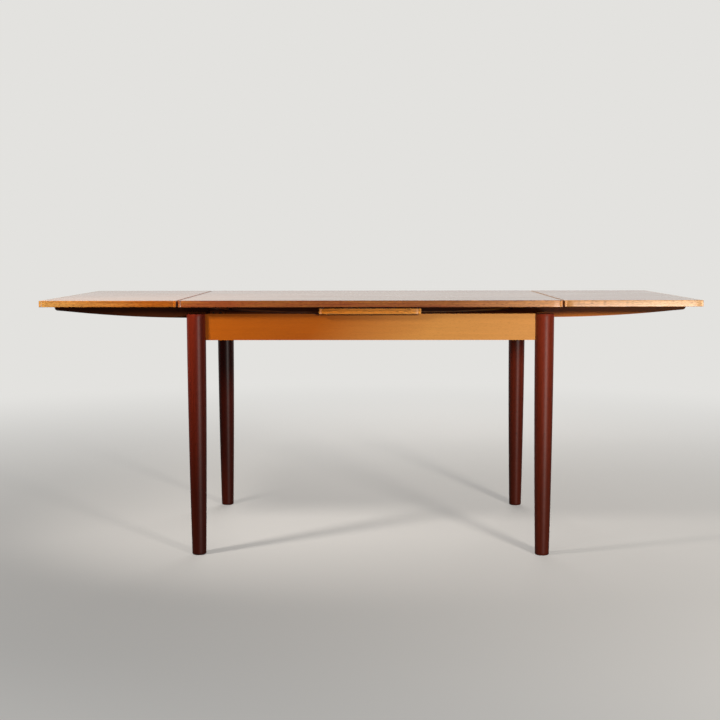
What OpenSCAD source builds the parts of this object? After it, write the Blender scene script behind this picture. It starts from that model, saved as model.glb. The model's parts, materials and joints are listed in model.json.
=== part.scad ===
// Draw-leaf dining table, shown opened out: a fixed centre board on the frame, a main top
// that floats over it on two dowels, and a leaf pulled out at each end on curved runners.
// Origin on the floor under the middle of the table, +X along its length, +Z up.

/* [Table] */
// Height of the table's surface above the floor
table_h = 730; // [700:1:760]
// Length of the main top
top_l = 1076; // [1070:1:1140]
// Depth of the main top and of the leaves, front to back
top_w = 760; // [720:1:800]
// Thickness of the main top
top_t = 19; // [18:0.5:22]
// Width of the solid lippings round every board
lipping_w = 8; // [5:1:14]

/* [Leaves] */
// Size of a leaf along the table's length
leaf_l = 386; // [370:1:388]
// Thickness of a leaf
leaf_t = 18; // [16:0.5:18]
// Gap between a leaf and the main top
leaf_gap = 5; // [3:0.5:6]
// Free height between the frame and the main top, where the leaves are stowed
leaf_space = 20; // [20:0.5:21]

/* [Centre board] */
// Size of the centre board along the table's length
board_l = 287; // [270:1:290]
// Depth of the centre board, front to back
board_w = 736; // [724:1:744]
// Thickness of the centre board
board_t = 16; // [14:0.5:16]

/* [Legs] */
// Radius of a leg at its top
leg_r_top = 27; // [25:0.5:28]
// Radius of a leg at its foot
leg_r_foot = 20; // [16:0.5:24]
// Radius of the rounding round the foot
foot_round = 4; // [2:0.5:6]
// Distance from the main top's end to a leg's axis
leg_inset_x = 46; // [44:1:60]
// Distance from the main top's front to a leg's axis
leg_inset_y = 35; // [32:1:40]

/* [Aprons] */
// Height of the aprons
apron_h = 74; // [72:1:90]
// Thickness of the aprons
apron_t = 20; // [18:1:22]
// How far an apron's outer face stands outside the legs' axes
apron_proud = 6; // [2:1:10]

/* [Runners] */
// Width of a runner
runner_w = 22; // [18:1:24]
// Depth of a runner at its outer end
runner_end_depth = 13; // [11:0.5:14]
// Depth of a runner where it lies in the end apron's notch
runner_depth = 35; // [34:0.5:36]
// Distance from the middle of the table to the middle of each pair of runners
runner_pair_y = 269; // [240:1:272]
// Sideways gap between the two runners of a pair
runner_pair_gap = 2; // [1:0.5:4]
// Distance from the leaf's outer edge to the runner's outer end
runner_inset = 22; // [20:1:40]
// Whole length of a runner
runner_l = 933; // [880:1:940]

/* [Travel] */
// How far the main top lifts before its stop discs touch the centre board
top_lift = 24; // [22:1:30]
// How far a leaf pulls out past its normal place before its stops touch the apron
leaf_overtravel = 20; // [5:1:20]

/* [Hidden] */
$fn = 48;

// Clearances: between bodies that slide, and between a fastener and its hole
slide_gap = 0.3;
side_gap = 0.5;
fit_gap = 0.05;
cut = 1;

// Heights
leaf_z = table_h - leaf_t;
top_z = table_h - top_t;
frame_h = top_z - leaf_space;
apron_z = frame_h - apron_h;
board_top_z = frame_h + board_t;

// Places along the length and the depth
leaf_outer_x = top_l / 2 + leaf_gap + leaf_l;
leg_x = top_l / 2 - leg_inset_x;
leg_y = top_w / 2 - leg_inset_y;
end_face_x = leg_x + apron_proud;
end_inner_x = end_face_x - apron_t;
side_face_y = leg_y + apron_proud;
side_inner_y = side_face_y - apron_t;
runner_step = (runner_w + runner_pair_gap) / 2;
outer_runner_y = runner_pair_y + runner_step;
inner_runner_y = runner_pair_y - runner_step;

// Runner outline: d is the distance from the leaf's outer edge, depths are below the leaf
runner_nose_r = 9;
curve_start_d = runner_inset + 5;
curve_l = leaf_outer_x - end_face_x - 6 - curve_start_d;
curve_steps = 20;
rise = runner_depth - runner_end_depth;
level_end_d = curve_start_d + curve_l + apron_t + leaf_overtravel + 10;
runner_board_h = runner_depth + 11;
runner_neck_l = 180;
bearing_depth = leaf_z - frame_h + 1;
seat_d = leaf_l - 46;
seat_step = 3;
hold_d = leaf_outer_x - board_l / 2 - 12;
hold_l = curve_l;

// Stops on the runners
stop_l = 40;
stop_w = 16;
stop_h = 22;
stop_d = leaf_outer_x - end_inner_x + leaf_overtravel + slide_gap;
stop_top_depth = 10;
stop_screw_l = 26;

// Middle rail, cleats and centre board fixings
rail_t = 22;
tenon_t = 12;
tenon_l = 8;
tenon_h = 50;
cleat_s = 20;
cleat_l = 105;
cleat_screw_l = 30;
apron_screw_x = 40;
board_screw_x = 85;
felt_w = 20;
felt_x = 112;
felt_end = 18;

// Guide dowels
dowel_r = 10;
dowel_x = 92;
dowel_in_top = 10;
disc_r = 18;
disc_t = 8;
disc_screw_l = 30;
disc_z = frame_h - top_lift - slide_gap - disc_t;

// Corner blocks and leg bolts, from the leg's axis towards the table's middle
block_gap = 2.5;
block_t = 22;
block_h = 44;
block_z = apron_z + 3;
block_near = leg_r_top + block_gap;
block_far = block_near + block_t;
bolt_r = 4;
bolt_bury = 35;
bolt_out = 16;
bolt_z = block_z + block_h / 2;
washer_r = 11;
washer_t = 2;
nut_r = 7.5;
nut_t = 6.5;
corner_inner = apron_t - apron_proud;
block_screw_u = 42;
block_screw_rise = 12;
block_screw_bite = 10;
block_screw_l = block_screw_bite + block_far * sqrt(2) - block_screw_u - corner_inner - 8;

// Wood screws
screw_r = 2;
screw_head_r = 4;
screw_head_h = 2.5;

// Colours
leg_colour = "#5c1f14";
apron_colour = "#c87a2a";
teak_colour = "#a85a26";
veneer_colour = "#9a5a34";
runner_colour = "#8a4f28";
inner_colour = "#c9a066";
steel_colour = "#b8bcc0";
felt_colour = "#4a3a30";

// ---- shared shapes ----

// A box from its lowest corner to its highest
module span(low, high) {
    translate(low) cube(high - low);
}

// A wood screw along +Z with its tip at the origin and its head's face at z = l
module screw(l) {
    cylinder(r = screw_r, h = l - screw_head_h);
    translate([0, 0, l - screw_head_h])
        cylinder(r1 = screw_r, r2 = screw_head_r, h = screw_head_h);
}

// The hole that a screw of that length needs, open for `bore` above its head
module screw_hole(l, bore) {
    translate([0, 0, -0.5]) cylinder(r = screw_r + fit_gap, h = l);
    translate([0, 0, l - screw_head_h])
        cylinder(r1 = screw_r + fit_gap, r2 = screw_head_r + fit_gap, h = screw_head_h);
    translate([0, 0, l]) cylinder(r = screw_head_r + fit_gap, h = bore);
}

// A board's core, inside its lippings
module board_core(low, high) {
    inset = [lipping_w, lipping_w, 0];
    span(low + inset, high - inset);
}

// The lippings of a board: the end ones run right through, front and back ones fit between
module end_lipping(low, high, at_high) {
    x = at_high ? high[0] - lipping_w : low[0];
    color(teak_colour) span([x, low[1], low[2]], [x + lipping_w, high[1], high[2]]);
}

module side_lipping(low, high, at_high) {
    y = at_high ? high[1] - lipping_w : low[1];
    color(teak_colour) span([low[0] + lipping_w, y, low[2]],
                            [high[0] - lipping_w, y + lipping_w, high[2]]);
}

// Turns a part of the left leaf into the same part of the right leaf
module to_right() {
    rotate([0, 0, 180]) children();
}

// Puts children at a leg's axis with +X and +Y pointing towards the table's middle
module at_corner(side, face) {
    translate([side * leg_x, face * leg_y, 0])
        mirror([side > 0 ? 1 : 0, 0, 0])
            mirror([0, face > 0 ? 1 : 0, 0])
                children();
}

module at_all_corners() {
    for (side = [-1, 1], face = [-1, 1]) at_corner(side, face) children();
}

// Lays a Z-axis shape along the corner's diagonal, at the bolt's height
module along_bolt() {
    translate([0, 0, bolt_z]) rotate([0, 0, 45]) rotate([0, 90, 0]) children();
}

// ---- legs ----

function leg_r(z) = leg_r_top - (leg_r_top - leg_r_foot) * pow(1 - z / frame_h, 2);

// Half outline of a leg: a rounded foot, then a slowly swelling taper to a flat top
module leg_outline() {
    foot_arc = [for (a = [-90 : 15 : 0])
        [leg_r(foot_round) - foot_round + foot_round * cos(a), foot_round + foot_round * sin(a)]];
    taper = [for (i = [1 : 16]) let (z = foot_round + (frame_h - foot_round) * i / 16)
        [leg_r(z), z]];
    polygon(concat([[0, 0]], foot_arc, taper, [[0, frame_h]]));
}

module leg(side, face) {
    color(leg_colour) at_corner(side, face) difference() {
        rotate_extrude() leg_outline();
        along_bolt() translate([0, 0, leg_r_top - bolt_bury - 0.5])
            cylinder(r = bolt_r + fit_gap, h = bolt_bury + 5);
    }
}

module hanger_bolts() {
    color(steel_colour) at_all_corners() along_bolt()
        translate([0, 0, leg_r_top - bolt_bury])
            cylinder(r = bolt_r, h = block_far + bolt_out - leg_r_top + bolt_bury);
}

module leg_washers() {
    color(steel_colour) at_all_corners() along_bolt() translate([0, 0, block_far])
        difference() {
            cylinder(r = washer_r, h = washer_t);
            translate([0, 0, -cut]) cylinder(r = bolt_r + 0.3, h = washer_t + 2 * cut);
        }
}

module leg_nuts() {
    color(steel_colour) at_all_corners() along_bolt()
        translate([0, 0, block_far + washer_t])
            difference() {
                cylinder(r = nut_r, h = nut_t, $fn = 6);
                translate([0, 0, -cut]) cylinder(r = bolt_r + fit_gap, h = nut_t + 2 * cut);
            }
}

// ---- corner blocks ----

// The screws of one corner block: one into each apron, either side of the bolt's height
module each_block_screw() {
    for (which = [0, 1]) mirror([which, -which, 0])
        translate([block_screw_u, corner_inner - block_screw_bite,
                   bolt_z + (which * 2 - 1) * block_screw_rise])
            rotate([-90, 0, 0]) children();
}

module corner_block(side, face) {
    inner = corner_inner;
    near = block_near * sqrt(2) - inner;
    far = block_far * sqrt(2) - inner;
    color(inner_colour) at_corner(side, face) difference() {
        translate([0, 0, block_z]) linear_extrude(block_h)
            polygon([[inner, near], [near, inner], [far, inner], [inner, far]]);
        along_bolt() cylinder(r = bolt_r + 0.5, h = block_far + 5);
        each_block_screw() screw_hole(block_screw_l, 20);
    }
}

module corner_block_screws() {
    color(steel_colour) at_all_corners() each_block_screw() screw(block_screw_l);
}

// ---- aprons ----

module leg_clearances() {
    for (side = [-1, 1], face = [-1, 1])
        translate([side * leg_x, face * leg_y, apron_z - cut])
            cylinder(r = leg_r_top + fit_gap, h = apron_h + 2 * cut);
}

// Front apron, or with face = 1 the back one
module long_apron(face) {
    color(apron_colour) difference() {
        span([-leg_x, face > 0 ? side_inner_y : -side_face_y, apron_z],
             [leg_x, face > 0 ? side_face_y : -side_inner_y, frame_h]);
        leg_clearances();
        at_all_corners() each_block_screw() screw_hole(block_screw_l, 1);
        rail_tenons();
        each_apron_screw() screw_hole(cleat_screw_l, 1);
    }
}

// Left end apron, with a notch for each of the left leaf's runners
module end_apron() {
    notch_z = leaf_z - runner_depth - slide_gap;
    color(apron_colour) difference() {
        span([-end_face_x, -leg_y, apron_z], [-end_inner_x, leg_y, frame_h]);
        leg_clearances();
        at_all_corners() each_block_screw() screw_hole(block_screw_l, 1);
        for (y = [-outer_runner_y, inner_runner_y])
            span([-end_face_x - cut, y - runner_w / 2 - side_gap, notch_z],
                 [-end_inner_x + cut, y + runner_w / 2 + side_gap, frame_h + cut]);
    }
}

// ---- middle rail and cleats ----

module rail_tenons() {
    z = apron_z + (apron_h - tenon_h) / 2;
    span([-tenon_t / 2, -side_inner_y - tenon_l, z],
         [tenon_t / 2, side_inner_y + tenon_l, z + tenon_h]);
}

// Rail between the long aprons, notched so that the stowed runners pass over it
module middle_rail() {
    notch_z = leaf_z - leaf_space - runner_board_h - 3;
    half_notch = runner_step + runner_w / 2 + side_gap;
    color(inner_colour) difference() {
        union() {
            span([-rail_t / 2, -side_inner_y, apron_z], [rail_t / 2, side_inner_y, frame_h]);
            rail_tenons();
        }
        for (face = [-1, 1])
            span([-rail_t, face * runner_pair_y - half_notch, notch_z],
                 [rail_t, face * runner_pair_y + half_notch, frame_h + cut]);
    }
}

// Screws through each cleat: one sideways into the apron, one up into the centre board
module each_apron_screw() {
    y = side_inner_y - cleat_s + cleat_screw_l;
    for (side = [-1, 1], face = [-1, 1])
        translate([side * apron_screw_x, face * y, frame_h - cleat_s / 2])
            rotate([face * 90, 0, 0]) children();
}

module each_board_screw() {
    z = frame_h - cleat_s + cleat_screw_l;
    for (side = [-1, 1], face = [-1, 1])
        translate([side * board_screw_x, face * (side_inner_y - cleat_s / 2), z])
            rotate([180, 0, 0]) children();
}

// One cleat, between the middle rail and the end of the centre board, inside a long apron
module cleat(side, face) {
    x = rail_t / 2 + cleat_l / 2;
    y = side_inner_y - cleat_s / 2;
    color(inner_colour) difference() {
        translate([side * x, face * y, frame_h - cleat_s / 2])
            cube([cleat_l, cleat_s, cleat_s], center = true);
        each_apron_screw() screw_hole(cleat_screw_l, 5);
        each_board_screw() screw_hole(cleat_screw_l, 5);
    }
}

module cleat_screws() {
    color(steel_colour) {
        each_apron_screw() screw(cleat_screw_l);
        each_board_screw() screw(cleat_screw_l);
    }
}

// ---- centre board ----

board_low = [-board_l / 2, -board_w / 2, frame_h];
board_high = [board_l / 2, board_w / 2, board_top_z];

module centre_board_panel() {
    color(veneer_colour) difference() {
        board_core(board_low, board_high);
        for (x = [-dowel_x, dowel_x])
            translate([x, 0, frame_h - cut]) cylinder(r = dowel_r + slide_gap, h = board_t + 2 * cut);
        each_board_screw() screw_hole(cleat_screw_l, 1);
    }
}

module felt_strips() {
    for (side = [-1, 1])
        color(felt_colour) span(
            [side * (felt_x + felt_w / 2) - felt_w / 2, felt_end - board_w / 2, board_top_z],
            [side * (felt_x + felt_w / 2) + felt_w / 2, board_w / 2 - felt_end, top_z - 0.2]);
}

// ---- main top ----

top_low = [-top_l / 2, -top_w / 2, top_z];
top_high = [top_l / 2, top_w / 2, table_h];

module top_panel() {
    color(veneer_colour) difference() {
        board_core(top_low, top_high);
        for (x = [-dowel_x, dowel_x])
            translate([x, 0, top_z - cut]) cylinder(r = dowel_r + fit_gap, h = dowel_in_top + cut);
    }
}

module guide_dowels() {
    color(inner_colour) for (x = [-dowel_x, dowel_x]) difference() {
        translate([x, 0, disc_z + disc_t])
            cylinder(r = dowel_r, h = top_z + dowel_in_top - disc_z - disc_t);
        translate([x, 0, disc_z + disc_screw_l]) rotate([180, 0, 0]) screw_hole(disc_screw_l, 1);
    }
}

module dowel_stop_discs() {
    color(inner_colour) for (x = [-dowel_x, dowel_x]) difference() {
        translate([x, 0, disc_z]) cylinder(r = disc_r, h = disc_t);
        translate([x, 0, disc_z + disc_screw_l]) rotate([180, 0, 0]) screw_hole(disc_screw_l, 1);
    }
}

module dowel_screws() {
    color(steel_colour) for (x = [-dowel_x, dowel_x])
        translate([x, 0, disc_z + disc_screw_l]) rotate([180, 0, 0]) screw(disc_screw_l);
}

// ---- leaves, drawn as the left one ----

leaf_low = [-leaf_outer_x, -top_w / 2, leaf_z];
leaf_high = [leaf_l - leaf_outer_x, top_w / 2, table_h];

// Depth of a runner's lower edge: a curve that levels out where it lies in the apron's notch
function lower_depth(d) =
    d < curve_start_d + curve_l ? runner_end_depth + rise * (1 - pow(1 - (d - curve_start_d) / curve_l, 2))
    : d < level_end_d ? runner_depth
    : min(runner_board_h, runner_depth + (runner_board_h - runner_depth) * (d - level_end_d) / runner_neck_l);

// Depth of its upper edge past the leaf: it keeps just under the centre board in every place
function upper_depth(d) =
    max(seat_step, bearing_depth - (d < hold_d ? rise * pow((hold_d - d) / hold_l, 2) : 0));

module runner_outline() {
    end_d = runner_inset + runner_l;
    nose = [for (a = [180 : 15 : 270])
        [runner_inset + runner_nose_r + runner_nose_r * cos(a),
         runner_nose_r - lower_depth(curve_start_d + runner_nose_r) + runner_nose_r * sin(a)]];
    curve = [for (i = [1 : curve_steps])
        let (d = curve_start_d + runner_nose_r + (curve_l - runner_nose_r) * i / curve_steps)
        [d, -lower_depth(d)]];
    hold = [for (i = [0 : curve_steps]) let (d = hold_d - (hold_d - seat_d - 12) * i / curve_steps)
        [d, -upper_depth(d)]];
    polygon(concat([[runner_inset, 0]], nose, curve,
        [[level_end_d, -runner_depth], [level_end_d + runner_neck_l, -runner_board_h],
         [end_d, -runner_board_h], [end_d, -bearing_depth]],
        hold, [[seat_d, -seat_step], [seat_d, 0]]));
}

// Distances from the leaf's outer edge at which a runner is screwed to the leaf
runner_screw_ds = [70, 195, 320];
runner_screw_l = 20;
runner_screw_bite = 11;

module each_runner_screw(y) {
    for (d = runner_screw_ds)
        translate([d - leaf_outer_x, y, leaf_z + runner_screw_bite]) rotate([180, 0, 0]) children();
}

module runner(y) {
    color(runner_colour) difference() {
        translate([-leaf_outer_x, y + runner_w / 2, leaf_z]) rotate([90, 0, 0])
            linear_extrude(runner_w) runner_outline();
        each_runner_screw(y) screw_hole(runner_screw_l, 40);
        each_stop_screw() screw_hole(stop_screw_l, 1);
    }
}

module leaf_panel() {
    color(veneer_colour) difference() {
        board_core(leaf_low, leaf_high);
        for (y = [-outer_runner_y, inner_runner_y]) each_runner_screw(y) screw_hole(runner_screw_l, 1);
    }
}

module runner_screws() {
    color(steel_colour)
        for (y = [-outer_runner_y, inner_runner_y]) each_runner_screw(y) screw(runner_screw_l);
}

// Stop blocks on the front side of each runner, clear of the other leaf's runners
stop_faces = [-outer_runner_y - runner_w / 2, inner_runner_y - runner_w / 2];

module each_stop_screw() {
    for (face = stop_faces, x = [0.25, 0.75])
        translate([stop_d - leaf_outer_x + x * stop_l, face - stop_w + 2 + stop_screw_l,
                   leaf_z - stop_top_depth - stop_h / 2])
            rotate([90, 0, 0]) children();
}

module runner_stops() {
    color(inner_colour) difference() {
        for (face = stop_faces)
            translate([stop_d - leaf_outer_x, face - stop_w, leaf_z - stop_top_depth - stop_h])
                cube([stop_l, stop_w, stop_h]);
        each_stop_screw() screw_hole(stop_screw_l, 5);
    }
}

module stop_screws() {
    color(steel_colour) each_stop_screw() screw(stop_screw_l);
}

// ---- nodes ----

leg(-1, -1);  // leg_front_left
leg(1, -1);  // leg_front_right
leg(-1, 1);  // leg_back_left
leg(1, 1);  // leg_back_right
long_apron(-1);  // front_apron
long_apron(1);  // back_apron
end_apron();  // left_end_apron
to_right() end_apron();  // right_end_apron
corner_block(-1, -1);  // corner_block_front_left
corner_block(1, -1);  // corner_block_front_right
corner_block(-1, 1);  // corner_block_back_left
corner_block(1, 1);  // corner_block_back_right
middle_rail();
cleat(-1, -1);  // cleat_front_left
cleat(1, -1);  // cleat_front_right
cleat(-1, 1);  // cleat_back_left
cleat(1, 1);  // cleat_back_right
centre_board_panel();
side_lipping(board_low, board_high, false);  // centre_board_front_lipping
side_lipping(board_low, board_high, true);  // centre_board_back_lipping
end_lipping(board_low, board_high, false);  // centre_board_left_lipping
end_lipping(board_low, board_high, true);  // centre_board_right_lipping
felt_strips();
hanger_bolts();
leg_washers();
leg_nuts();
corner_block_screws();
cleat_screws();
top_panel();
side_lipping(top_low, top_high, false);  // top_front_lipping
side_lipping(top_low, top_high, true);  // top_back_lipping
end_lipping(top_low, top_high, false);  // top_left_lipping
end_lipping(top_low, top_high, true);  // top_right_lipping
guide_dowels();
dowel_stop_discs();
dowel_screws();
leaf_panel();  // left_leaf_panel
side_lipping(leaf_low, leaf_high, false);  // left_leaf_front_lipping
side_lipping(leaf_low, leaf_high, true);  // left_leaf_back_lipping
end_lipping(leaf_low, leaf_high, false);  // left_leaf_outer_lipping
end_lipping(leaf_low, leaf_high, true);  // left_leaf_inner_lipping
runner(-outer_runner_y);  // left_leaf_front_runner
runner(inner_runner_y);  // left_leaf_back_runner
runner_stops();  // left_leaf_runner_stops
runner_screws();  // left_leaf_runner_screws
stop_screws();  // left_leaf_stop_screws
to_right() leaf_panel();  // right_leaf_panel
to_right() side_lipping(leaf_low, leaf_high, true);  // right_leaf_front_lipping
to_right() side_lipping(leaf_low, leaf_high, false);  // right_leaf_back_lipping
to_right() end_lipping(leaf_low, leaf_high, false);  // right_leaf_outer_lipping
to_right() end_lipping(leaf_low, leaf_high, true);  // right_leaf_inner_lipping
to_right() runner(inner_runner_y);  // right_leaf_front_runner
to_right() runner(-outer_runner_y);  // right_leaf_back_runner
to_right() runner_stops();  // right_leaf_runner_stops
to_right() runner_screws();  // right_leaf_runner_screws
to_right() stop_screws();  // right_leaf_stop_screws
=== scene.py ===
"""Looks of the draw-leaf table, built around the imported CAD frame.

The panels are the CAD's own solids as they come. So are the legs, aprons, blocks, rail, dowels
and runners, with their arrises eased by modifiers. Lippings, felt and fasteners are rebuilt
here in finer detail, in the places that the frame gives. Lengths are in metres, in the frame's
own axes.
"""

import json
import math

import bmesh
import bpy
from mathutils import Matrix, Vector, noise

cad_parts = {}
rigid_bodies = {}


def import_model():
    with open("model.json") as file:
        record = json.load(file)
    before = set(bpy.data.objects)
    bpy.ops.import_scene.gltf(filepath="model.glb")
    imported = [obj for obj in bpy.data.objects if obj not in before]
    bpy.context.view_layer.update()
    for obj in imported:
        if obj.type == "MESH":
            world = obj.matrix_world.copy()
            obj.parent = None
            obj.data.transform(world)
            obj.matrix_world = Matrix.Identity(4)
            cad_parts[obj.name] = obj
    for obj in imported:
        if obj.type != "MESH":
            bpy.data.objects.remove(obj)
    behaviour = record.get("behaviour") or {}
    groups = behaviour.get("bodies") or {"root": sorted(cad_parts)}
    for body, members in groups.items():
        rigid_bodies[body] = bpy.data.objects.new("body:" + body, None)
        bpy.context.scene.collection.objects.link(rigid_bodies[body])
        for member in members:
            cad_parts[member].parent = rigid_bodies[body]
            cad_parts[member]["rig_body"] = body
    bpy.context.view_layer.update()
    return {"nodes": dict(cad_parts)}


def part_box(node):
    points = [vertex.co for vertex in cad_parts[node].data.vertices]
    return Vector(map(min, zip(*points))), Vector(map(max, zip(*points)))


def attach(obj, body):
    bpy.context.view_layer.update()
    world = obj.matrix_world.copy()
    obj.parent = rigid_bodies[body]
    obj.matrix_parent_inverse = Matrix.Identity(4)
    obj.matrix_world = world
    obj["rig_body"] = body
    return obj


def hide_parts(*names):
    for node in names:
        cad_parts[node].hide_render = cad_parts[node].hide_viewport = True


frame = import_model()
nodes = frame["nodes"]

MM = 0.001
SAME_PLANE = 0.001 * MM
SAME_POINT = 0.01 * MM


# ---- camera ----

CAMERA_PLACE = (0.016, -3.855, 0.885)
CAMERA_TILT_DOWN = 5.29
CAMERA_ROLL = 0.10
CAMERA_PAN = 0.72
CAMERA_LENS = 62.2
CAMERA_SENSOR = 36
CAMERA_NEAR = 0.05
CAMERA_FAR = 60


def make_camera():
    """The place and lens that were fitted to the photograph. Angles are in degrees."""
    data = bpy.data.cameras.new("camera")
    data.sensor_width = CAMERA_SENSOR
    data.lens = CAMERA_LENS
    data.clip_start = CAMERA_NEAR
    data.clip_end = CAMERA_FAR
    camera = bpy.data.objects.new("camera", data)
    camera.location = CAMERA_PLACE
    camera.rotation_euler = (
        math.radians(90 - CAMERA_TILT_DOWN),
        math.radians(CAMERA_ROLL),
        math.radians(CAMERA_PAN),
    )
    bpy.context.scene.collection.objects.link(camera)
    bpy.context.scene.camera = camera


# ---- shader graphs ----


def rgb(code):
    """A #rrggbb code as the linear colour that a shader socket takes."""
    shares = [int(code[i : i + 2], 16) / 255 for i in (1, 3, 5)]
    linear = [c / 12.92 if c <= 0.04045 else ((c + 0.055) / 1.055) ** 2.4 for c in shares]
    return (*linear, 1)


class Graph:
    """One material's node graph, with short calls for the nodes that it is made of."""

    def __init__(self, name):
        self.material = bpy.data.materials.new(name)
        self.material.use_nodes = True
        self.tree = self.material.node_tree
        self.tree.nodes.clear()
        self.output = self.node("ShaderNodeOutputMaterial")

    def feed(self, socket, value):
        """Links another node's output to the socket, or sets a plain value on it."""
        if isinstance(value, bpy.types.NodeSocket):
            self.tree.links.new(value, socket)
        else:
            socket.default_value = value

    def node(self, kind, sockets=None, **settings):
        """A new node with its sockets fed and its settings made."""
        made = self.tree.nodes.new(kind)
        for key, value in settings.items():
            setattr(made, key, value)
        for key, value in (sockets or {}).items():
            self.feed(made.inputs[key], value)
        return made

    def math(self, operation, *values):
        made = self.node("ShaderNodeMath", operation=operation)
        for socket, value in zip(made.inputs, values):
            self.feed(socket, value)
        return made.outputs[0]

    def vector(self, x, y, z):
        return self.node("ShaderNodeCombineXYZ", {"X": x, "Y": y, "Z": z}).outputs[0]

    def place(self):
        """The point's coordinates in the frame at rest."""
        coordinates = self.node("ShaderNodeTexCoord").outputs["Object"]
        split = self.node("ShaderNodeSeparateXYZ", {"Vector": coordinates})
        return list(split.outputs)

    def noise(self, vector, detail=2, roughness=0.5):
        sockets = {"Vector": vector, "Scale": 1, "Detail": detail, "Roughness": roughness}
        return self.node("ShaderNodeTexNoise", sockets).outputs

    def remap(self, value, low, high, to_low=0.0, to_high=1.0):
        """Stretches low..high to to_low..to_high, and holds the ends."""
        sockets = {"Value": value, "From Min": low, "From Max": high}
        sockets |= {"To Min": to_low, "To Max": to_high}
        return self.node("ShaderNodeMapRange", sockets, clamp=True).outputs[0]

    def blend(self, factor, low, high, kind="MIX"):
        """A colour between two others, or another way of laying one over the other."""
        made = self.node("ShaderNodeMix", data_type="RGBA", blend_type=kind)
        for index, value in ((0, factor), (6, low), (7, high)):
            self.feed(made.inputs[index], value)
        return made.outputs[2]

    def mix(self, factor, low, high):
        """A number between two others."""
        made = self.node("ShaderNodeMix", data_type="FLOAT")
        for index, value in ((0, factor), (2, low), (3, high)):
            self.feed(made.inputs[index], value)
        return made.outputs[0]

    def attribute(self, name):
        return self.node("ShaderNodeAttribute", attribute_name=name).outputs["Fac"]

    def bump(self, height, distance, strength=1.0):
        sockets = {"Height": height, "Distance": distance, "Strength": strength}
        return self.node("ShaderNodeBump", sockets).outputs[0]

    def principled(self, **sockets):
        """Ends the graph with its shader. Underscores stand for the spaces in socket names."""
        named = {key.replace("_", " "): value for key, value in sockets.items()}
        shader = self.node("ShaderNodeBsdfPrincipled", named)
        self.tree.links.new(shader.outputs[0], self.output.inputs["Surface"])
        return self.material


# ---- wood ----

RING_WANDER = 0.03
FIBRE_CELLS = (14, 1100)
CHAFE_CELLS = (30, 90)
RUB_CELLS = (3, 9)
# Painted light: the largest share of the paler tone along the table, and how ragged its edge is.
PAINTED_LIGHT_SHARE = 0.85
PAINTED_LIGHT_DRIFT = 0.12
# Painted shade: the heights between which the wood darkens toward the floor.
LOW_SHADE_REACH = (0.18, 0.68)
END_GRAIN_REACH = (0.5, 0.95)


def grain_axes(graph, grain):
    """The point's place along the grain and across it in the two other directions."""
    x, y, z = graph.place()
    return {"X": (x, y, z), "Y": (y, x, z), "Z": (z, x, y)}[grain]


def stretched_noise(graph, axes, along, across, detail=2, roughness=0.5):
    """Noise with `along` cells a metre down the grain and `across` cells a metre over it."""
    u, v, w = axes
    vector = graph.vector(
        graph.math("MULTIPLY", u, along),
        graph.math("MULTIPLY", v, across),
        graph.math("MULTIPLY", w, across),
    )
    return graph.noise(vector, detail, roughness)


def ring_lines(graph, distance, ring):
    """0 in the soft early wood of each ring, rising to 1 in the hard late wood at its edge."""
    share = graph.math("FRACT", graph.math("DIVIDE", distance, ring))
    rising = graph.remap(share, 0.25, 0.9)
    falling = graph.remap(share, 0.94, 1.0, 1, 0)
    return graph.math("MULTIPLY", rising, falling)


def solid_rings(graph, axes, pith, ring):
    """Rings of a board sawn from a log whose middle runs `pith` away, outside the board."""
    _, v, w = axes
    drift = stretched_noise(graph, axes, 1.4, 5, 3)["Color"]
    wander = graph.node("ShaderNodeSeparateXYZ", {"Vector": drift}).outputs
    away = [
        graph.math(
            "ADD",
            graph.math("SUBTRACT", graph.math("ABSOLUTE", side), middle),
            graph.math("MULTIPLY", shift, RING_WANDER),
        )
        for side, middle, shift in zip((v, w), pith, wander)
    ]
    squares = [graph.math("MULTIPLY", d, d) for d in away]
    return ring_lines(graph, graph.math("SQRT", graph.math("ADD", *squares)), ring)


def veneer_rings(graph, axes, leaf, ring):
    """Rings of sliced veneer laid in book-matched leaves, each `leaf` wide over the grain."""
    u, v, _ = axes
    across = graph.math("PINGPONG", graph.math("ADD", v, 10 * leaf), leaf)
    slow = graph.noise(
        graph.vector(graph.math("MULTIPLY", u, 0.9), graph.math("MULTIPLY", v, 1.3), 3.7), 2
    )[0]
    depth = graph.math(
        "ADD", graph.math("MULTIPLY", slow, 0.11), graph.math("MULTIPLY", u, 0.012)
    )
    wavy = graph.noise(
        graph.vector(graph.math("MULTIPLY", u, 2.2), graph.math("MULTIPLY", across, 16), 0), 3
    )[0]
    side = graph.math(
        "ADD", graph.math("SUBTRACT", across, 0.42 * leaf), graph.math("MULTIPLY", wavy, 0.02)
    )
    squares = [graph.math("MULTIPLY", d, d) for d in (side, depth)]
    return ring_lines(graph, graph.math("SQRT", graph.math("ADD", *squares)), ring)


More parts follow.
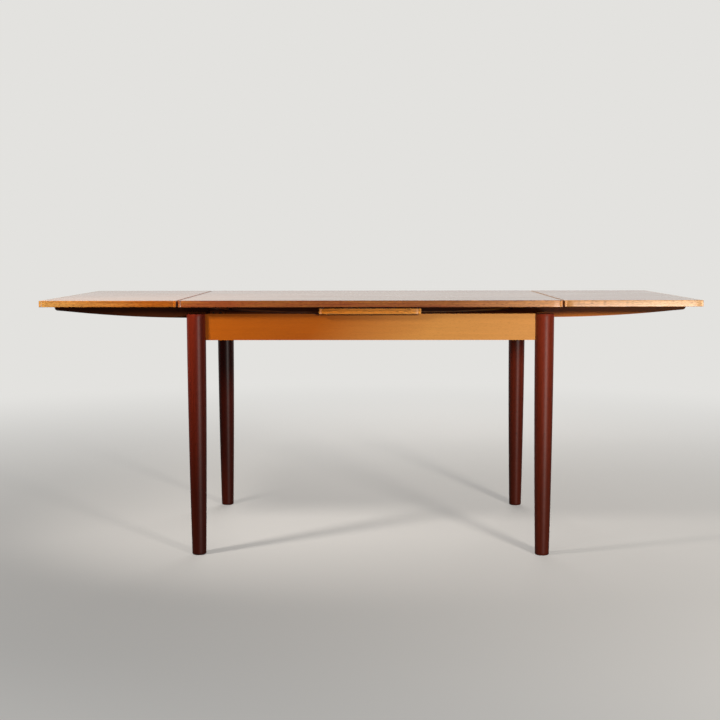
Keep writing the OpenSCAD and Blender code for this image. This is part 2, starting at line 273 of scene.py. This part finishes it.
def wood(
    name,
    grain,
    pale,
    deep,
    patch,
    pore,
    worn,
    pith=(0.28, 0.5),
    ring=2.6 * MM,
    ring_contrast=0.5,
    veneer_leaf=None,
    patch_scale=(4, 14),
    patch_reach=(0.42, 0.68),
    pore_amount=0.4,
    pore_length=60,
    pore_width=1500,
    pore_reach=(0.58, 0.7),
    streak=0.14,
    streak_cells=(2.5, 110),
    roughness=0.42,
    fibre_depth=0.05,
    faded=None,
    faded_reach=(0.0, 0.35),
    low_shade=1.0,
    end_shade=0.72,
    specular=0.5,
    coat=0.0,
    coat_streak=0.0,
    coat_worn=False,
    coat_roughness=0.16,
):
    """An oiled or lacquered wood with rings, drifting colour, streaks, pores, and arrises in a
    tone of their own, which is rubbing on most woods and painted shade on the main top's
    lipping.

    The tone that the wood pales to along the table, over its reach, is painted light, standing
    for light that falls stronger toward one end. `low_shade` is painted shade that darkens it
    toward the floor, and `end_shade` is how bright its end grain is. `coat` is a lacquer,
    thinner by `coat_streak` in streaks and, with `coat_worn`, gone from the arrises where it has
    rubbed through.
    """
    graph = Graph(name)
    axes = grain_axes(graph, grain)
    if veneer_leaf:
        late = veneer_rings(graph, axes, veneer_leaf, ring)
    else:
        late = solid_rings(graph, axes, pith, ring)
    colour = graph.blend(graph.math("MULTIPLY", late, ring_contrast), rgb(pale), rgb(deep))

    drift = stretched_noise(graph, axes, *patch_scale, detail=3)[0]
    colour = graph.blend(graph.remap(drift, *patch_reach), colour, rgb(patch))

    # Painted light: the wood pales toward one end of the table over the given reach, with a
    # ragged edge, where the light falls stronger.
    if faded:
        x = graph.place()[0]
        ragged = graph.remap(drift, 0, 1, -PAINTED_LIGHT_DRIFT, PAINTED_LIGHT_DRIFT)
        painted_light_share = graph.remap(graph.math("ADD", x, ragged), *faded_reach, 0, PAINTED_LIGHT_SHARE)
        colour = graph.blend(painted_light_share, colour, rgb(faded))

    streaks = stretched_noise(graph, axes, *streak_cells, 4, 0.6)[0]
    fibres = stretched_noise(graph, axes, *FIBRE_CELLS, 1)[0]
    shade = graph.math(
        "ADD",
        graph.remap(streaks, 0.25, 0.75, 1 - streak, 1 + streak),
        graph.remap(fibres, 0.2, 0.8, -0.06, 0.06),
    )
    surface = graph.node("ShaderNodeTexCoord").outputs["Normal"]
    normals = graph.node("ShaderNodeSeparateXYZ", {"Vector": surface}).outputs
    end_grain = graph.math("ABSOLUTE", normals["XYZ".index(grain)])
    end_tone = graph.remap(end_grain, *END_GRAIN_REACH, 1.0, end_shade)
    shade = graph.math("MULTIPLY", shade, end_tone)
    # Painted shade: the wood darker toward the floor.
    if low_shade < 1:
        z = graph.place()[2]
        low_tone = graph.remap(z, *LOW_SHADE_REACH, low_shade, 1.0)
        shade = graph.math("MULTIPLY", shade, low_tone)
    colour = graph.blend(1.0, colour, graph.vector(shade, shade, shade), "MULTIPLY")

    dots = stretched_noise(graph, axes, pore_length, pore_width, 1)[0]
    pores = graph.remap(dots, *pore_reach)
    colour = graph.blend(graph.math("MULTIPLY", pores, pore_amount), colour, rgb(pore))

    # The arris tone: rubbing on most woods, and a painted dark shade along the main top's
    # lipping.
    chafed = stretched_noise(graph, axes, *CHAFE_CELLS, 3)[0]
    chafing = graph.remap(chafed, 0.35, 0.65, 0.25, 0.9)
    arris_rub_and_shade = graph.math("MULTIPLY", graph.attribute("arris_rub_and_shade"), chafing)
    colour = graph.blend(arris_rub_and_shade, colour, rgb(worn))

    rubbed = stretched_noise(graph, axes, *RUB_CELLS, 4)[0]
    sheen = graph.math(
        "ADD",
        graph.remap(rubbed, 0.3, 0.7, roughness - 0.05, roughness + 0.06),
        graph.math("MULTIPLY", pores, 0.12),
    )
    relief = graph.math("SUBTRACT", graph.math("MULTIPLY", fibres, 0.4), pores)
    normal = graph.bump(relief, fibre_depth * MM)
    lacquer = graph.remap(arris_rub_and_shade, 0, 1, coat, 0.0) if coat_worn else coat
    if coat_streak:
        thin = graph.remap(streaks, 0.35, 0.65, 1 - coat_streak, 1)
        lacquer = graph.math("MULTIPLY", lacquer, thin)
    return graph.principled(
        Base_Color=colour,
        Roughness=sheen,
        Normal=normal,
        Specular_IOR_Level=specular,
        Coat_Weight=lacquer,
        Coat_Roughness=coat_roughness,
    )


def leg_wood():
    # Painted light and shade: the right-hand legs paler and every leg darker toward the floor.
    return wood(
        "leg_wood_stained", "Z",
        pale="#702211", deep="#52130a", patch="#681f0c", pore="#1e0603", worn="#96421a",
        pith=(0.43, 0.29), ring=2.4 * MM, ring_contrast=0.35, patch_scale=(3, 16),
        pore_amount=0.6, pore_length=70, streak=0.26, roughness=0.36, fibre_depth=0.03,
        faded="#7e2c16", faded_reach=(-0.3, 0.45), low_shade=0.48,
        specular=0.1, coat=0.5, coat_roughness=0.42,
    )


def apron_wood(grain):
    # Painted light: paler toward the right-hand end, where the light falls stronger.
    return wood(
        f"apron_wood_{grain}", grain,
        pale="#b35c10", deep="#9f4c08", patch="#aa530c", pore="#74360a", worn="#c98038",
        faded="#de9a4a", faded_reach=(-0.15, 0.2),
        pith=(0.25, 0.5), ring=2.8 * MM, ring_contrast=0.3, patch_scale=(1.6, 7),
        pore_amount=0.22, pore_length=160, streak=0.06, roughness=0.4, fibre_depth=0.03,
        specular=0.25,
    )


def teak_veneer():
    return wood(
        "teak_veneer", "X",
        pale="#b47a4c", deep="#7d4a2a", patch="#9d6339", pore="#4a2716", worn="#c08a5a",
        veneer_leaf=0.186, ring=4.2 * MM, ring_contrast=0.55, patch_scale=(1.2, 6),
        pore_amount=0.35, pore_length=45, streak=0.2, roughness=0.34, fibre_depth=0.01,
        specular=0.5, coat=1.0, coat_streak=0.25,
    )


def lipping_wood(name, grain, coat=1.0, patch_scale=(6, 90), **tones):
    return wood(
        f"{name}_{grain}", grain,
        pore="#4a1c0a",
        pith=(0.2, 0.45), ring=2.2 * MM, ring_contrast=0.5, patch_scale=patch_scale,
        pore_amount=0.6, pore_length=80, pore_width=1300, pore_reach=(0.5, 0.66),
        streak=0.3, streak_cells=(9, 300), roughness=0.4, fibre_depth=0.04, end_shade=1.25,
        specular=0.25, coat=coat, coat_worn=True, coat_roughness=0.18, **tones,
    )


def top_lipping_wood(grain):
    # Painted light and shade: paler toward the right-hand end, where the light falls stronger,
    # with a darker red painted shade along its arrises.
    return lipping_wood(
        "top_lipping", grain, pale="#ac682e", deep="#86441c", patch="#964824", worn="#7a3012",
        faded="#e29c54", faded_reach=(0.2, 0.55),
    )


def left_leaf_lipping_wood(grain):
    # Painted light: paler toward the outer end, near the left-hand light.
    return lipping_wood(
        "left_leaf_lipping", grain, pale="#aa5a16", deep="#8a400a", patch="#9c5010",
        worn="#a8601e", faded="#c6944e", faded_reach=(-0.62, -0.95),
    )


def right_leaf_lipping_wood(grain):
    # Painted light: paler tones than the left leaf's same lipping, and paler still toward the
    # outer end, where the right-hand light falls stronger.
    return lipping_wood(
        "right_leaf_lipping", grain, pale="#cf8c42", deep="#b87430", patch="#c58038",
        worn="#c98a4c", faded="#eabb88", faded_reach=(0.48, 0.78),
    )


def board_lipping_wood(grain):
    # Painted light: paler toward the right-hand end.
    return lipping_wood(
        "board_lipping", grain, 0.3, pale="#e28424", deep="#c66c18", patch="#d67a1c",
        worn="#c88c4a", faded="#f8ac4a", faded_reach=(-0.08, 0.26),
    )


def runner_wood():
    # Painted light: paler near the right-hand leg, where the light reaches under the leaf.
    return wood(
        "runner_wood", "X",
        pale="#7c4222", deep="#5a2c14", patch="#68341a", pore="#2a1208", worn="#a06c3c",
        faded="#d2782e", faded_reach=(0.45, 0.6),
        pith=(0.3, 0.55), ring=2.6 * MM, ring_contrast=0.4, patch_scale=(3, 20),
        pore_amount=0.4, pore_length=120, streak=0.1, roughness=0.5, fibre_depth=0.05,
        specular=0.1,
    )


def bare_beech(grain):
    return wood(
        f"bare_beech_{grain}", grain,
        pale="#d9b88c", deep="#bf9463", patch="#cda577", pore="#94683c", worn="#e2c9a2",
        pith=(0.2, 0.5), ring=2.8 * MM, ring_contrast=0.45, patch_scale=(4, 20),
        pore_amount=0.55, pore_length=260, streak=0.08, roughness=0.6, fibre_depth=0.08,
    )


# ---- metal and felt ----


def zinc_steel():
    """Dull zinc plating with a faint crystal mottle and grime where the finish has aged."""
    graph = Graph("zinc_plate")
    coordinates = graph.node("ShaderNodeTexCoord").outputs["Object"]
    cells = graph.node("ShaderNodeTexVoronoi", {"Vector": coordinates, "Scale": 900.0}).outputs
    mottle = graph.node("ShaderNodeTexNoise", {"Vector": coordinates, "Scale": 260.0}).outputs[0]
    plate = graph.blend(graph.remap(cells["Distance"], 0, 0.9), rgb("#9a9892"), rgb("#76756f"))
    colour = graph.blend(graph.remap(mottle, 0.5, 0.75), plate, rgb("#6e6558"))
    return graph.principled(
        Base_Color=colour,
        Metallic=1.0,
        Roughness=graph.remap(mottle, 0.3, 0.7, 0.3, 0.55),
        Normal=graph.bump(mottle, 0.03 * MM),
    )


def felt():
    """Pressed brown felt: matted fibres that cross each other."""
    graph = Graph("felt_brown")
    axes = graph.place()
    turned = (axes[1], axes[0], axes[2])
    lint = [stretched_noise(graph, way, 300, 1800, 3)[0] for way in (axes, turned)]
    mat = graph.math("MAXIMUM", *lint)
    cloud = stretched_noise(graph, axes, 40, 40, 3)[0]
    colour = graph.blend(graph.remap(mat, 0.4, 0.75), rgb("#3b2d24"), rgb("#6a5546"))
    colour = graph.blend(graph.remap(cloud, 0.45, 0.7, 0, 0.5), colour, rgb("#2e231c"))
    return graph.principled(
        Base_Color=colour, Roughness=0.95, Sheen_Weight=0.05, Normal=graph.bump(mat, 0.3 * MM)
    )


# ---- stage and lights ----

FLOOR_TONE = "#dad5cf"
FLOOR_BOUNCE_TONE = "#857b72"
BACKDROP_TONE = "#e3e2df"
BOWL_RINGS = (0.02, 1, 2, 3, 4)
BOWL_FLAT = 5.0
BOWL_CURVE = 3.0
BOWL_HEIGHT = 7.0
BOWL_STEP = 6
BOWL_TURNS = 96
BLEND_START = 0.6
BLEND_END = 4.2
AMBIENT = 0.12
FRONT_GLOW = 0.04
LOW_GLOW = 0.25
FLOOR_GLOW = 0.3
DARK_MIRROR_Y = (0.0, 3.5)
DARK_MIRROR_Z = (0.0, 0.7)
WARM_TINT = (1, 0.97, 0.93)
STRIP_TINT = (1, 0.9, 0.84)


def stage_material():
    """A pale floor that turns into an evenly glowing backdrop away from the table.

    Only the camera sees it pale. The floor throws back less light than that, the backdrop is
    dim, and what the lacquer mirrors is bright only high up behind the table.
    """
    graph = Graph("stage")
    x, y, z = graph.place()
    squares = [graph.math("MULTIPLY", d, d) for d in (x, y)]
    radius = graph.math("SQRT", graph.math("ADD", *squares))
    share = graph.node(
        "ShaderNodeMapRange",
        {"Value": radius, "From Min": BLEND_START, "From Max": BLEND_END, "To Min": FLOOR_GLOW},
        interpolation_type="SMOOTHSTEP",
    ).outputs[0]
    ray = graph.node("ShaderNodeLightPath").outputs
    tone = graph.blend(ray["Is Camera Ray"], rgb(FLOOR_BOUNCE_TONE), rgb(FLOOR_TONE))
    floor = graph.node("ShaderNodeBsdfDiffuse", {"Color": tone})
    mirrored = graph.math(
        "MULTIPLY",
        graph.remap(y, *DARK_MIRROR_Y, FRONT_GLOW, 1.0),
        graph.remap(z, *DARK_MIRROR_Z, LOW_GLOW, 1.0),
    )
    strength = graph.mix(ray["Is Glossy Ray"], AMBIENT, mirrored)
    strength = graph.mix(ray["Is Camera Ray"], strength, 1.0)
    glow = graph.node("ShaderNodeEmission", {"Color": rgb(BACKDROP_TONE), "Strength": strength})
    sockets = {0: share, 1: floor.outputs[0], 2: glow.outputs[0]}
    mixed = graph.node("ShaderNodeMixShader", sockets)
    graph.tree.links.new(mixed.outputs[0], graph.output.inputs["Surface"])
    graph.material.cycles.emission_sampling = "NONE"
    return graph.material


def round_point(radius, k, count, z):
    """The k-th of `count` points spaced evenly round the vertical axis."""
    angle = math.tau * k / count
    return radius * math.cos(angle), radius * math.sin(angle), z


def make_stage():
    """A bowl: a flat floor that curves up into a wall all round."""
    arc = [math.radians(a) for a in range(0, 91, BOWL_STEP)]
    profile = [(r, 0) for r in BOWL_RINGS]
    profile += [
        (BOWL_FLAT + BOWL_CURVE * math.sin(a), BOWL_CURVE * (1 - math.cos(a))) for a in arc
    ]
    profile.append((BOWL_FLAT + BOWL_CURVE, BOWL_HEIGHT))
    bm = bmesh.new()
    rings = [[bm.verts.new(round_point(r, k, BOWL_TURNS, z)) for k in range(BOWL_TURNS)]
             for r, z in profile]
    bm.faces.new(rings[0])
    for inner, outer in zip(rings, rings[1:]):
        for k in range(BOWL_TURNS):
            n = (k + 1) % BOWL_TURNS
            bm.faces.new((inner[k], outer[k], outer[n], inner[n]))
    mesh = bpy.data.meshes.new("stage")
    bm.to_mesh(mesh)
    bm.free()
    mesh.shade_smooth()
    mesh.materials.append(stage_material())
    floor = bpy.data.objects.new("stage", mesh)
    bpy.context.scene.collection.objects.link(floor)


def area_light(name, place, target, size, power, colour=(1, 1, 1), spread=180, height=None):
    """A soft round light that leaves no mirror image or, where `height` is given, an upright
    strip that is only seen mirrored. The spread is in degrees."""
    data = bpy.data.lights.new(name, "AREA")
    data.shape = "RECTANGLE" if height else "DISK"
    data.size = size
    data.size_y = height or size
    data.spread = math.radians(spread)
    data.energy = power
    data.color = colour
    light = bpy.data.objects.new(name, data)
    light.location = place
    toward = Vector(target) - Vector(place)
    light.rotation_euler = toward.to_track_quat("-Z", "Y").to_euler()
    light.visible_camera = False
    light.visible_glossy = height is not None
    light.visible_diffuse = height is None
    bpy.context.scene.collection.objects.link(light)


def make_lights():
    middle = (0, 0, 0.55)
    area_light(
        "key", (1.68, -3.09, 1.40), (1.0, 0, 0.6), size=0.5, power=18.8, colour=WARM_TINT,
        spread=80,
    )
    area_light(
        "left", (-1.42, -1.05, 1.46), (-0.5, -0.15, 0.66), size=0.25, power=4.3,
        colour=WARM_TINT, spread=64,
    )
    area_light("above", (-0.5, -1.7, 2.6), middle, size=1.2, power=6)
    area_light("behind", (0.2, 3.0, 2.2), middle, size=2.4, power=55)
    area_light(
        "strip", (1.45, -3.1, 0.26), (0.55, -0.3, 0.35), size=1.0, power=33,
        colour=STRIP_TINT, height=0.4,
    )
    world = bpy.data.worlds.new("world")
    world.use_nodes = True
    background = world.node_tree.nodes["Background"]
    background.inputs["Color"].default_value = rgb(BACKDROP_TONE)
    background.inputs["Strength"].default_value = AMBIENT
    bpy.context.scene.world = world
    bpy.context.scene.view_settings.view_transform = "Standard"


# ---- carried-over CAD nodes ----

FLAT_ANGLE = 0.3
ARRIS_ANGLE = 40
ARRIS_SEGMENTS = 3


def carry(node, material, arris=None):
    """Gives a CAD node its finish and eases its sharp edges, `arris` millimetres wide.

    The CAD's triangles are joined into whole faces first, so that the easing stays clean
    round the screw holes.
    """
    piece = nodes[node]
    for slot in piece.material_slots:
        slot.material = material
    if arris:
        weld = piece.modifiers.new("weld", "WELD")
        weld.merge_threshold = SAME_POINT
        flat = piece.modifiers.new("flat", "DECIMATE")
        flat.decimate_type = "DISSOLVE"
        flat.angle_limit = math.radians(FLAT_ANGLE)
        bevel = piece.modifiers.new("arris", "BEVEL")
        bevel.width = arris * MM
        bevel.segments = ARRIS_SEGMENTS
        bevel.limit_method = "ANGLE"
        bevel.angle_limit = math.radians(ARRIS_ANGLE)
        bevel.harden_normals = True


# ---- rebuilt pieces ----

SHARP_ANGLE = 35


def add_piece(name, mesh, like, material):
    """Links a rebuilt piece that stands for the CAD node `like` and rides with it."""
    mesh.materials.clear()
    mesh.materials.append(material)
    piece = bpy.data.objects.new(name, mesh)
    bpy.context.scene.collection.objects.link(piece)
    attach(piece, nodes[like]["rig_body"])
    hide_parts(like)
    return piece


def finish_mesh(bm, name, sharp=SHARP_ANGLE):
    """The bmesh as a mesh, smooth but for edges sharper than `sharp` degrees."""
    mesh = bpy.data.meshes.new(name)
    bmesh.ops.recalc_face_normals(bm, faces=bm.faces)
    bm.to_mesh(mesh)
    bm.free()
    mesh.shade_smooth()
    mesh.set_sharp_from_angle(angle=math.radians(sharp))
    return mesh


def box_matrix(low, high):
    """Turns a unit cube about the origin into the box between two corners."""
    return Matrix.Translation((low + high) / 2) @ Matrix.Diagonal((*(high - low), 1))


def cut_across(bm, geometry, axis, point):
    """Cuts the geometry with the plane through the point that the axis stands on."""
    normal = Vector([a == axis for a in range(3)])
    bmesh.ops.bisect_plane(bm, geom=geometry, plane_co=point, plane_no=normal)


LIPPING_ARRIS = 1.1 * MM
LIPPING_SEGMENTS = 4
LIPPING_DENT = 0.3 * MM
LIPPING_DENT_CELLS = 60
LIPPING_WORN = 2.8 * MM
LIPPING_STATION = 18 * MM


def on_planes(point, low, high):
    """Which of a box's six outer faces the point lies on."""
    return {(axis, side) for axis in range(3) for side, limit in enumerate((low, high))
            if abs(point[axis] - limit[axis]) < SAME_PLANE}


def lipping(node, board, material):
    """A lipping with its outward arrises eased by hand, unevenly, and its joints left tight.

    It is cut into short stations for the dents, and once behind each arris, which keeps the
    arris mask, where the arris tone and the lost lacquer go, to the arris itself.
    """
    low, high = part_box(node)
    board_low, board_high = board
    size = high - low
    bm = bmesh.new()
    bmesh.ops.create_cube(bm, size=1, matrix=box_matrix(low, high))

    def outward(edge):
        planes = [on_planes(vertex.co, board_low, board_high) for vertex in edge.verts]
        return len(set.intersection(*planes)) > 1

    bmesh.ops.bevel(
        bm, geom=[edge for edge in bm.edges if outward(edge)], offset=LIPPING_ARRIS,
        offset_type="OFFSET", segments=LIPPING_SEGMENTS, profile=0.5, affect="EDGES",
        clamp_overlap=True,
    )
    along = 0 if size.x > size.y else 1
    stations = int(size[along] / LIPPING_STATION)
    cuts = [(along, low[along] + size[along] * k / stations) for k in range(1, stations)]
    outer = [(axis, limit[axis], inward) for axis in range(3)
             for limit, inward, own in ((board_low, 1, low), (board_high, -1, high))
             if abs(own[axis] - limit[axis]) < SAME_PLANE]
    cuts += [(axis, place + inward * LIPPING_WORN) for axis, place, inward in outer]
    for axis, place in cuts:
        point = Vector([place * (a == axis) for a in range(3)])
        cut_across(bm, bm.verts[:] + bm.edges[:] + bm.faces[:], axis, point)
    # Marks the arrises, whose tone is rubbing, and painted shade on the main top's lipping.
    arris_rub_and_shade = bm.verts.layers.float.new("arris_rub_and_shade")
    bm.normal_update()
    for vertex in bm.verts:
        near = [abs(vertex.co[axis] - place) < 1.01 * LIPPING_ARRIS for axis, place, _ in outer]
        if sum(near) > 1:
            vertex[arris_rub_and_shade] = 1
            dent = 0.5 + 0.5 * noise.noise(vertex.co * LIPPING_DENT_CELLS)
            vertex.co -= vertex.normal * LIPPING_DENT * dent ** 2
    mesh = finish_mesh(bm, node + "_eased")
    piece = add_piece(node + "_eased", mesh, node, material)
    piece.modifiers.new("shading", "WEIGHTED_NORMAL")


def board_box(prefix):
    """Lowest and highest corner of a board with its lippings."""
    boxes = [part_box(node) for node in nodes
             if node.startswith(prefix) and node.endswith(("panel", "lipping"))]
    low = Vector([min(b[0][axis] for b in boxes) for axis in range(3)])
    high = Vector([max(b[1][axis] for b in boxes) for axis in range(3)])
    return low, high


def solids(node):
    """The separate solids of a CAD node, each as a list of its corner points."""
    bm = bmesh.new()
    bm.from_mesh(nodes[node].data)
    bmesh.ops.remove_doubles(bm, verts=bm.verts, dist=SAME_POINT)
    found, seen = [], set()
    for start in bm.verts:
        if start in seen:
            continue
        seen.add(start)
        group, queue = [], [start]
        while queue:
            vertex = queue.pop()
            group.append(vertex.co.copy())
            for edge in vertex.link_edges:
                other = edge.other_vert(vertex)
                if other not in seen:
                    seen.add(other)
                    queue.append(other)
        found.append(group)
    bm.free()
    return found


SAME_END = 0.1 * MM
AXES = [Vector(a).normalized() for a in
        ((1, 0, 0), (0, 1, 0), (0, 0, 1), (1, 1, 0), (1, -1, 0))]


def extent(points, axis):
    """How far the points reach along the axis, both ways."""
    shares = [p.dot(axis) for p in points]
    return min(shares), max(shares)


def round_solid(points, flat=False):
    """Frame of a round solid with local +Z on its axis, its low end at the origin and the
    wider end up, then its length and its radius. A flat one, such as a washer, lies across
    its shortest axis."""
    lengths = [extent(points, axis)[1] - extent(points, axis)[0] for axis in AXES]
    pick = min if flat else max
    axis = AXES[lengths.index(pick(lengths))]
    side = axis.orthogonal().normalized()
    other = axis.cross(side)
    centre = sum((d * sum(extent(points, d)) / 2 for d in (side, other)), Vector())
    low, high = extent(points, axis)

    def reach(end):
        return max((p - centre - axis * p.dot(axis)).length for p in points
                   if abs(p.dot(axis) - end) < SAME_END)

    if not flat and reach(low) > reach(high) + SAME_END:
        axis, low, high = -axis, -high, -low
    turn = axis.to_track_quat("Z", "X").to_matrix().to_4x4()
    place = Matrix.Translation(centre + axis * low) @ turn
    return place, high - low, max(reach(low), reach(high))


def grid_solid(radius_at, heights, segments):
    """A closed round solid: rings of `segments` points at each height, capped at both ends."""
    bm = bmesh.new()
    rings = []
    for z in heights:
        radii = [radius_at(z, math.tau * k / segments) for k in range(segments)]
        rings.append([bm.verts.new(round_point(radius, k, segments, z))
                      for k, radius in enumerate(radii)])
    for lower, upper in zip(rings, rings[1:]):
        for k in range(segments):
            n = (k + 1) % segments
            bm.faces.new((lower[k], lower[n], upper[n], upper[k]))
    bm.faces.new(rings[0][::-1])
    bm.faces.new(rings[-1])
    return bm


def thread(z, angle, pitch):
    """0 at the thread's root and 1 at its crest, along a right-handed helix."""
    share = (z / pitch - angle / math.tau) % 1
    return 1 - abs(2 * share - 1)


def steps(low, high, step):
    """Even steps from low to high, each about `step` long, with both ends."""
    count = max(1, round((high - low) / step))
    return [low + (high - low) * k / count for k in range(count + 1)]


def cut_from(body, tool, operation):
    """The mesh of `body` after a boolean with `tool`, both given as meshes."""
    pair = [bpy.data.objects.new("cut", mesh) for mesh in (body, tool)]
    for made in pair:
        bpy.context.scene.collection.objects.link(made)
    boolean = pair[0].modifiers.new("cut", "BOOLEAN")
    boolean.operation = operation
    boolean.object = pair[1]
    boolean.solver = "EXACT"
    bpy.context.view_layer.update()
    evaluated = pair[0].evaluated_get(bpy.context.evaluated_depsgraph_get())
    mesh = bpy.data.meshes.new_from_object(evaluated)
    for made in pair:
        bpy.data.objects.remove(made)
    return mesh


def wood_screw(length, head_r):
    """A countersunk wood screw with a straight slot, tip at the origin."""
    shank_r, head_h = head_r / 2, 2.5 * MM
    tip, pitch = 4 * MM, 1.8 * MM
    threaded = 0.62 * length
    slot_size = (1.1 * MM, 3 * head_r, 2.2 * MM, 1)

    def radius_at(z, angle):
        if z > length - head_h:
            return shank_r + (head_r - shank_r) * (z - length + head_h) / head_h
        if z > threaded:
            return 0.9 * shank_r
        taper = min(1, 0.12 + z / tip)
        return shank_r * taper * (0.72 + 0.28 * thread(z, angle, pitch))

    heights = steps(0, threaded, pitch / 4) + [threaded + 0.2 * MM, length - head_h, length]
    body = finish_mesh(grid_solid(radius_at, heights, 16), "screw")
    slot = bmesh.new()
    bmesh.ops.create_cube(
        slot, size=1, matrix=Matrix.Translation((0, 0, length)) @ Matrix.Diagonal(slot_size)
    )
    return cut_from(body, finish_mesh(slot, "slot"), "DIFFERENCE")


def threaded_rod(length, radius):
    """A rod threaded from end to end, with both ends chamfered."""
    pitch, depth, chamfer = 1.25 * MM, 0.6 * MM, 0.8 * MM

    def radius_at(z, angle):
        end = min(z, length - z)
        return radius - depth * (1 - thread(z, angle, pitch)) - max(0, chamfer - end) * 0.7

    return finish_mesh(grid_solid(radius_at, steps(0, length, pitch / 4), 18), "rod")


def ring_solid(bore, outer, height, chamfer, segments=48):
    """A flat ring with chamfered edges inside and outside."""
    outline = [(bore + chamfer, 0), (outer - chamfer, 0), (outer, chamfer),
               (outer, height - chamfer), (outer - chamfer, height), (bore + chamfer, height),
               (bore, height - chamfer), (bore, chamfer)]
    bm = bmesh.new()
    rings = [[bm.verts.new(round_point(r, k, segments, z)) for r, z in outline]
             for k in range(segments)]
    for here, there in zip(rings, rings[1:] + rings[:1]):
        for k in range(len(outline)):
            n = (k + 1) % len(outline)
            bm.faces.new((here[k], there[k], there[n], here[n]))
    return finish_mesh(bm, "ring")


def hex_nut(height, corner_r, bore):
    """A hexagon nut with both faces chamfered at the corners and round its bore."""
    prism = bmesh.new()
    bmesh.ops.create_cone(prism, cap_ends=True, segments=6, radius1=corner_r, radius2=corner_r,
                          depth=height, matrix=Matrix.Translation((0, 0, height / 2)))
    ring = ring_solid(bore, corner_r + 0.01 * MM, height, 0.7 * MM)
    return cut_from(ring, finish_mesh(prism, "prism"), "INTERSECT")


def fasteners(node, make, material, flat=False):
    """Replaces each solid of a CAD node with a detailed one in the same place."""
    bm = bmesh.new()
    made = {}
    for points in solids(node):
        place, length, reach = round_solid(points, flat)
        key = round(length / MM, 2)
        if key not in made:
            made[key] = make(length, reach)
        start = len(bm.verts)
        bm.from_mesh(made[key])
        bm.verts.ensure_lookup_table()
        bmesh.ops.transform(bm, matrix=place, verts=bm.verts[start:])
    mesh = bpy.data.meshes.new(node + "_detail")
    bm.to_mesh(mesh)
    bm.free()
    mesh.shade_smooth()
    mesh.set_sharp_from_angle(angle=math.radians(SHARP_ANGLE))
    add_piece(node + "_detail", mesh, node, material)


FELT_CELLS = ((0, 2.5 * MM), (1, 5 * MM))
FELT_SINK = 0.4 * MM
FELT_SINK_CELLS = 260
FELT_SHARP = 50


def felt_pile(node, material):
    """Felt strips with a matted, slightly uneven upper face."""
    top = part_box(node)[1].z
    bm = bmesh.new()
    for points in solids(node):
        start = Vector([min(p[axis] for p in points) for axis in range(3)])
        end = Vector([max(p[axis] for p in points) for axis in range(3)])
        bmesh.ops.create_cube(bm, size=1, matrix=box_matrix(start, end))
        for axis, cell in FELT_CELLS:
            count = round((end - start)[axis] / cell)
            for k in range(1, count):
                strip = [face for face in bm.faces
                         if start.x - MM < face.calc_center_median().x < end.x + MM]
                geometry = [g for face in strip for g in (face, *face.edges, *face.verts)]
                geometry = list(dict.fromkeys(geometry))
                cut_across(bm, geometry, axis, start.lerp(end, k / count))
    for vertex in bm.verts:
        if top - vertex.co.z < SAME_END:
            rough = 0.5 + 0.5 * noise.noise(vertex.co * FELT_SINK_CELLS)
            vertex.co.z -= FELT_SINK * rough
    mesh = finish_mesh(bm, node + "_pile", FELT_SHARP)
    add_piece(node + "_pile", mesh, node, material)


# ---- build ----

make_camera()
make_stage()
make_lights()

legs = leg_wood()
for node in (n for n in nodes if n.startswith("leg_") and n not in ("leg_washers", "leg_nuts")):
    carry(node, legs, 1.2)

apron_x, apron_y = apron_wood("X"), apron_wood("Y")
for node in ("front_apron", "back_apron"):
    carry(node, apron_x, 0.7)
for node in ("left_end_apron", "right_end_apron"):
    carry(node, apron_y, 0.7)

veneer = teak_veneer()
for node in ("top_panel", "left_leaf_panel", "right_leaf_panel", "centre_board_panel"):
    carry(node, veneer)

beech_x, beech_y, beech_z = bare_beech("X"), bare_beech("Y"), bare_beech("Z")
for node in nodes:
    if node.startswith("cleat_") and node != "cleat_screws":
        carry(node, beech_x, 1)
    if node.startswith("corner_block_") and node != "corner_block_screws":
        carry(node, beech_z, 1)
carry("middle_rail", beech_y, 1)
carry("guide_dowels", beech_z, 0.8)
carry("dowel_stop_discs", beech_z, 1)

runners = runner_wood()
for node in (n for n in nodes if n.endswith(("_runner", "_runner_stops"))):
    carry(node, runners, 1.5)

for prefix, slot, species in (
    ("top_", "top_lipping", top_lipping_wood),
    ("left_leaf_", "leaf_lipping", left_leaf_lipping_wood),
    ("right_leaf_", "leaf_lipping", right_leaf_lipping_wood),
    ("centre_board_", "board_lipping", board_lipping_wood),
):
    board = board_box(prefix)
    across, along = species("Y"), species("X")
    for node in [n for n in nodes if n.startswith(prefix) and n.endswith("lipping")]:
        ends = any(word in node[len(prefix):] for word in ("left", "right", "outer", "inner"))
        lipping(node, board, across if ends else along)

zinc = zinc_steel()
for node in [n for n in nodes if n.endswith("screws")]:
    fasteners(node, wood_screw, zinc)
fasteners("hanger_bolts", threaded_rod, zinc)
BOLT_R = 4 * MM
WASHER_BORE_R = BOLT_R + 0.3 * MM
WASHER_CHAMFER = 0.25 * MM
fasteners(
    "leg_washers", lambda h, r: ring_solid(WASHER_BORE_R, r, h, WASHER_CHAMFER), zinc, True
)
fasteners("leg_nuts", lambda h, r: hex_nut(h, r, BOLT_R), zinc, True)
felt_pile("felt_strips", felt())
